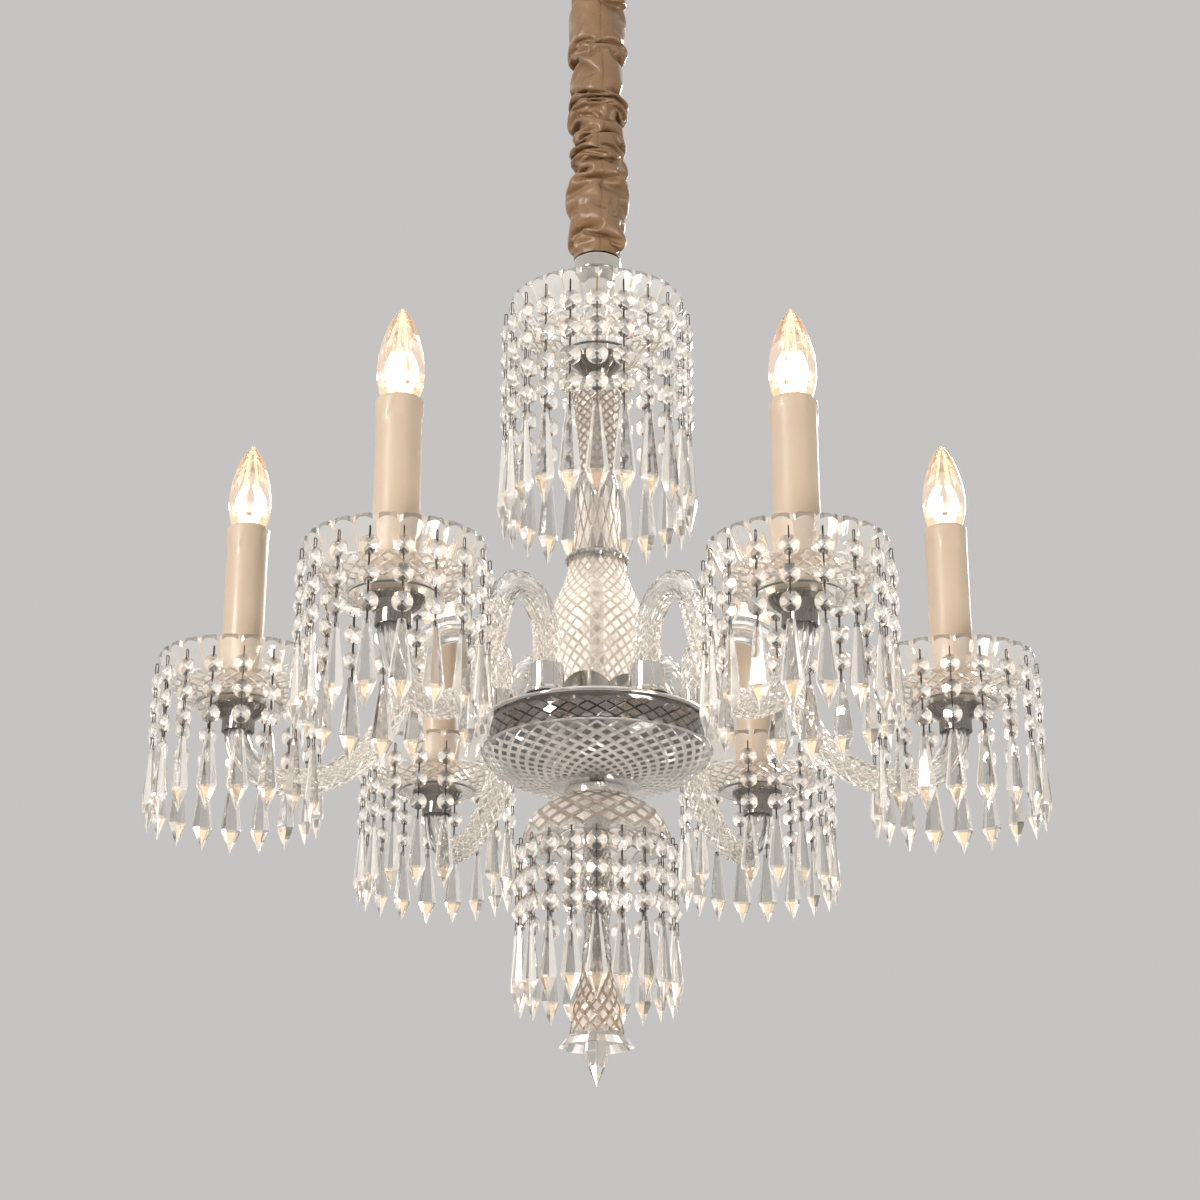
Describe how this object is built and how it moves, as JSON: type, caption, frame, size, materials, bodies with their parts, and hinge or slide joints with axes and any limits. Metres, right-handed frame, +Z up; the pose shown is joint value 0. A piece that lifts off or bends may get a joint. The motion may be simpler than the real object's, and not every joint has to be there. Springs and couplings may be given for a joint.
{
  "type": "crystal chandelier",
  "caption": "Glass-armed crystal chandelier with candle lights and tiers of bead strands and drops, hung by a sleeved chain from a ceiling rose.",
  "frame": {"origin": "centre of the ceiling plate's top face, where it bears on the ceiling", "axes": "+Z up, out of the plate's top face and along the stem; +X along one of the arms; the arms are 60 degrees apart"},
  "size_m": [0.7206, 0.6428, 1.086],
  "materials": {
    "plated_steel": "nickel-plated steel, satin",
    "polished_chrome": "polished plate, bright and clean",
    "terminal_plastic": "moulded plastic",
    "sleeve_satin": "gathered satin cloth with a soft sheen",
    "crystal": "clear cut lead crystal, polished facets",
    "lamp_glass": "clear thin lamp glass",
    "pin_wire": "fine brass wire, darkened",
    "candle_card": "ivory wax look, soft gloss",
    "holder_plastic": "moulded lampholder"
  },
  "bodies": {
    "ceiling_fitting": {"ceiling_plate": "plated_steel", "ceiling_hook": "plated_steel", "rose_screws": "polished_chrome", "terminal_block": "terminal_plastic"},
    "rose": {"ceiling_rose": "polished_chrome"},
    "hook_link": {"top_link": "plated_steel"},
    "fixture": {"arm_sockets": "polished_chrome", "baluster_glass": "crystal", "bowl_glass": "crystal", "bowl_ring": "polished_chrome", "candle_beads": "crystal", "candle_dish_1": "crystal", "candle_dish_2": "crystal", "candle_dish_3": "crystal", "candle_dish_4": "crystal", "candle_dish_5": "crystal", "candle_dish_6": "crystal", "candle_drops": "crystal", "candle_sleeves": "candle_card", "candle_wires": "pin_wire", "central_rod": "plated_steel", "chain_links": "plated_steel", "chain_sleeve": "sleeve_satin", "column_glass": "crystal", "column_ring": "polished_chrome", "crown_beads": "crystal", "crown_cup": "polished_chrome", "crown_dish": "crystal", "crown_drops": "crystal", "crown_wires": "pin_wire", "dish_cups": "polished_chrome", "dome_glass": "crystal", "finial_bell": "crystal", "finial_nut": "polished_chrome", "glass_arm_1": "crystal", "glass_arm_2": "crystal", "glass_arm_3": "crystal", "glass_arm_4": "crystal", "glass_arm_5": "crystal", "glass_arm_6": "crystal", "hub_drum": "polished_chrome", "hub_plate": "polished_chrome", "lampholders": "holder_plastic", "lower_beads": "crystal", "lower_drops": "crystal", "lower_stem": "crystal", "lower_wires": "pin_wire", "neck_tube": "polished_chrome", "petal_cup": "polished_chrome", "stem_loop": "plated_steel", "top_collar": "polished_chrome"},
    "finial_link": {"finial_ring": "pin_wire"},
    "finial_pendant": {"finial_drop": "crystal"},
    "lamp_1": {"bulb_1": "lamp_glass"},
    "lamp_2": {"bulb_2": "lamp_glass"},
    "lamp_3": {"bulb_3": "lamp_glass"},
    "lamp_4": {"bulb_4": "lamp_glass"},
    "lamp_5": {"bulb_5": "lamp_glass"},
    "lamp_6": {"bulb_6": "lamp_glass"}
  },
  "joints": [
    {"name": "rose_slide", "type": "slide", "parent": "ceiling_fitting", "child": "rose", "axis": [0, 0, 1], "range_m": [-0.08, 0]},
    {"name": "hook_swing", "type": "hinge", "parent": "ceiling_fitting", "child": "hook_link", "pos_m": [0, 0, -0.04], "axis": [1, 0, 0], "range_deg": [-5, 5]},
    {"name": "link_swing", "type": "hinge", "parent": "hook_link", "child": "fixture", "pos_m": [0, 0, -0.07083], "axis": [0, 1, 0], "range_deg": [-5, 5]},
    {"name": "ring_swing", "type": "hinge", "parent": "fixture", "child": "finial_link", "pos_m": [0, 0, -1.006], "axis": [1, 0, 0], "range_deg": [-8, 8]},
    {"name": "pendant_swing", "type": "hinge", "parent": "finial_link", "child": "finial_pendant", "pos_m": [0, 0, -1.0132], "axis": [0, 1, 0], "range_deg": [-8, 8]},
    {"name": "lamp_1_screw", "type": "hinge", "parent": "fixture", "child": "lamp_1", "pos_m": [0.288, 0, -0.644], "axis": [0, 0, 1], "range_deg": [0, 900]},
    {"name": "lamp_2_screw", "type": "hinge", "parent": "fixture", "child": "lamp_2", "pos_m": [0.144, 0.24941, -0.644], "axis": [0, 0, 1], "range_deg": [0, 900]},
    {"name": "lamp_3_screw", "type": "hinge", "parent": "fixture", "child": "lamp_3", "pos_m": [-0.144, 0.24941, -0.644], "axis": [0, 0, 1], "range_deg": [0, 900]},
    {"name": "lamp_4_screw", "type": "hinge", "parent": "fixture", "child": "lamp_4", "pos_m": [-0.288, 0, -0.644], "axis": [0, 0, 1], "range_deg": [0, 900]},
    {"name": "lamp_5_screw", "type": "hinge", "parent": "fixture", "child": "lamp_5", "pos_m": [-0.144, -0.24941, -0.644], "axis": [0, 0, 1], "range_deg": [0, 900]},
    {"name": "lamp_6_screw", "type": "hinge", "parent": "fixture", "child": "lamp_6", "pos_m": [0.144, -0.24941, -0.644], "axis": [0, 0, 1], "range_deg": [0, 900]}
  ]
}
